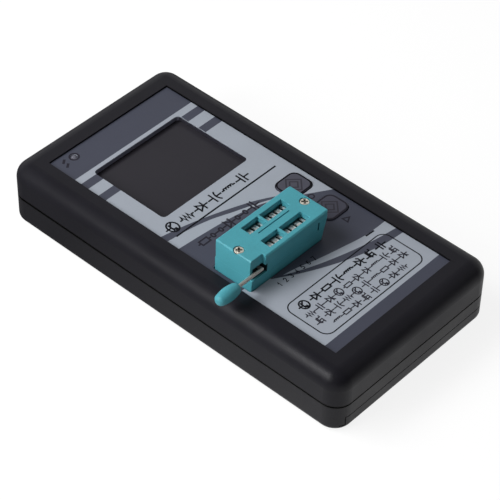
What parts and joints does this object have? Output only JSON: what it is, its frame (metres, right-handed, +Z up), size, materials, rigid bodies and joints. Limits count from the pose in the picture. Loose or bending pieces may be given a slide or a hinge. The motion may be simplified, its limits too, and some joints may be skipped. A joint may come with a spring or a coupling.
{
  "type": "component tester",
  "caption": "Handheld electronic component tester with a recessed display, two keys, a lever-clamped test socket and a sliding battery door.",
  "frame": {"origin": "centre of the case's underside", "axes": "+Z up out of the label, +Y towards the display end, +X to the right"},
  "size_m": [0.0747, 0.138, 0.0326],
  "materials": {
    "black_case": "fine satin ABS",
    "label_film": "satin printed polyester film",
    "key_film": "satin printed film",
    "black_plastic": "satin",
    "switch_metal": "stamped",
    "display_glass": "polished dark polariser",
    "white_plastic": "satin",
    "ribbon": "polyimide",
    "lamp_lens": "clear moulded lens",
    "board": "solder mask",
    "steel": "plated",
    "dark_steel": "black plated",
    "chip_body": "moulded epoxy",
    "tin": "tinned",
    "capacitor_sleeve": "shrunk sleeve",
    "chip_ceramic": "ceramic",
    "ferrite": "sintered",
    "socket_plastic": "satin moulded teal",
    "socket_dark": "satin moulded teal",
    "contact_metal": "bright plated spring strip",
    "socket_screw": "plated brass",
    "battery_can": "plain printed can",
    "red_sleeve": "soft vinyl"
  },
  "bodies": {
    "case": {"bottom_shell": "black_case", "top_shell": "black_case", "front_label": "label_film", "key_switches": "switch_metal", "display_glass": "display_glass", "display_frame": "white_plastic", "display_flex": "ribbon", "status_lamp": "lamp_lens", "main_board": "board", "board_screws": "steel", "case_screws": "dark_steel", "microcontroller": "chip_body", "microcontroller_legs": "tin", "crystal": "tin", "tall_capacitors": "capacitor_sleeve", "chip_parts": "chip_ceramic", "voltage_regulator": "chip_body", "boost_coil": "ferrite", "pin_risers": "black_plastic", "socket_base": "socket_plastic", "socket_cover": "socket_plastic", "back_contacts": "contact_metal", "front_contacts": "contact_metal", "socket_screws": "socket_screw", "battery": "battery_can", "battery_terminals": "tin", "snap_connector": "black_plastic", "red_lead": "red_sleeve", "black_lead": "black_plastic"},
    "ok_key": {"ok_key": "key_film", "ok_plunger": "black_plastic"},
    "test_key": {"test_key": "key_film", "test_plunger": "black_plastic"},
    "lever": {"lever_rod": "steel", "lever_cam": "white_plastic", "lever_knob": "socket_plastic"},
    "pusher": {"socket_pusher": "socket_dark"},
    "door": {"battery_door": "black_case"}
  },
  "joints": [
    {"name": "ok_key_press", "type": "slide", "parent": "case", "child": "ok_key", "axis": [0, 0, -1], "range_m": [0, 0.0003], "stiffness_N_per_m": 1500},
    {"name": "test_key_press", "type": "slide", "parent": "case", "child": "test_key", "axis": [0, 0, -1], "range_m": [0, 0.0003], "stiffness_N_per_m": 1500},
    {"name": "lever_hinge", "type": "hinge", "parent": "case", "child": "lever", "pos_m": [-0.0199, -0.02475, 0.0275], "axis": [0, 1, 0], "range_deg": [0, 90]},
    {"name": "pusher_slide", "type": "slide", "parent": "case", "child": "pusher", "axis": [1, 0, 0], "range_m": [0, 0.0012]},
    {"name": "battery_door_slide", "type": "slide", "parent": "case", "child": "door", "axis": [0, -1, 0], "range_m": [0, 0.036]}
  ],
  "couplings": [
    {"joint": "pusher_slide", "follows": "lever_hinge", "m_per_rad": 0.000763}
  ]
}
